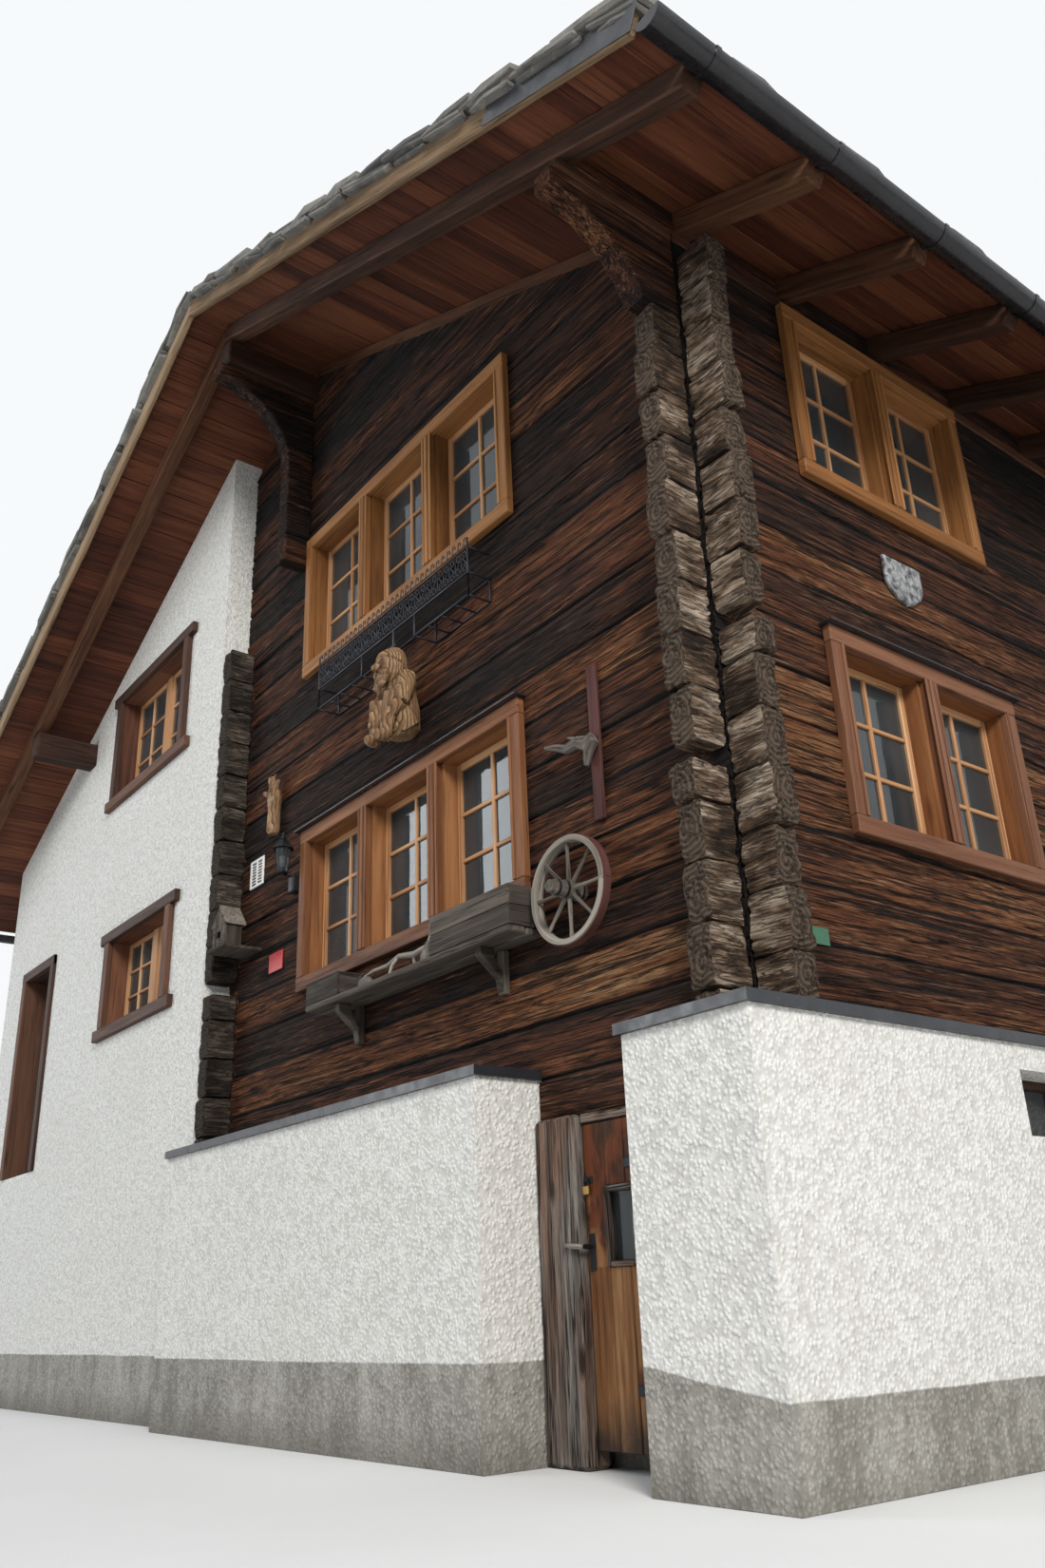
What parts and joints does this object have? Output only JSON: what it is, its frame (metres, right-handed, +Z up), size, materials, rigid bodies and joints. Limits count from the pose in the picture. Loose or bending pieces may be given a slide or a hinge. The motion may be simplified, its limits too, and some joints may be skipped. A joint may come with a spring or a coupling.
{
  "type": "alpine chalet",
  "caption": "Alpine chalet: interlocked dark log walls on a white roughcast base and wing, stone slab roof with deep eaves, casement windows, hinged cellar and entrance doors.",
  "frame": {"origin": "on the lowest ground, below the middle of the roof's outline", "axes": "+Z up, -Y the front gable with both doors, +X the right eave wall; the ridge runs along Y"},
  "size_m": [12.534, 11.0594, 8.3648],
  "materials": {
    "masonry": "coarse roughcast",
    "log_wood": "weathered larch logs",
    "roof_wood": "stained boards and beams",
    "window_wood": "oiled pine",
    "door_wood": "aged planks",
    "roof_stone": "split gneiss slabs with lichen",
    "sheet_metal": "anthracite, satin",
    "window_glass": "clear",
    "iron": "black, wrought",
    "grey_wood": "weathered grey",
    "carved_wood": "carved, oiled",
    "plaque_metal": "grey cast"
  },
  "bodies": {
    "root": {"base_front_left": "masonry", "base_front_right": "masonry", "base_side": "masonry", "base_rear": "masonry", "base_spine": "masonry", "base_caps": "sheet_metal", "front_wall_lower": "log_wood", "front_wall_upper": "log_wood", "rear_wall_lower": "log_wood", "rear_wall_upper": "log_wood", "side_wall_lower": "log_wood", "side_wall_upper": "log_wood", "inner_wall_lower": "log_wood", "inner_wall_upper": "log_wood", "wing_front_left": "masonry", "wing_front_right": "masonry", "wing_door_bay": "masonry", "wing_rear": "masonry", "wing_side": "masonry", "cellar_floor": "masonry", "ground_floor": "roof_wood", "upper_floor": "roof_wood", "rafters": "roof_wood", "purlins": "roof_wood", "consoles": "log_wood", "roof_boards": "roof_wood", "barge_boards": "roof_wood", "roof_slabs_right": "roof_stone", "roof_slabs_left": "roof_stone", "gutter_right": "sheet_metal", "gutter_left": "sheet_metal", "front_window_frames": "window_wood", "rear_window_frames": "window_wood", "side_window_frames": "window_wood", "wing_window_frames": "window_wood", "window_sashes": "window_wood", "window_glazing": "window_glass", "window_flashings": "sheet_metal", "cellar_door_frame": "door_wood", "entrance_frame": "door_wood", "cart_wheel": "grey_wood", "wall_slat": "grey_wood", "flower_rack": "iron", "flower_shelf": "grey_wood", "planter_boxes": "grey_wood", "shelf_ornaments": "carved_wood", "wall_carvings": "carved_wood", "wall_lantern": "iron", "vent_grille": "plaque_metal", "nest_box": "grey_wood", "wall_plates": "plaque_metal"},
    "cellar_leaf": {"cellar_door": "door_wood", "cellar_door_pane": "window_glass"},
    "entrance_leaf": {"entrance_door": "door_wood"}
  },
  "joints": [
    {"name": "cellar_door_hinge", "type": "hinge", "parent": "root", "child": "cellar_leaf", "pos_m": [4.734, -4.367, 0.76], "axis": [0, 0, 1], "range_deg": [0, 90]},
    {"name": "entrance_door_hinge", "type": "hinge", "parent": "root", "child": "entrance_leaf", "pos_m": [-4.475, -4.301, 2.96], "axis": [0, 0, 1], "range_deg": [0, 95]}
  ]
}
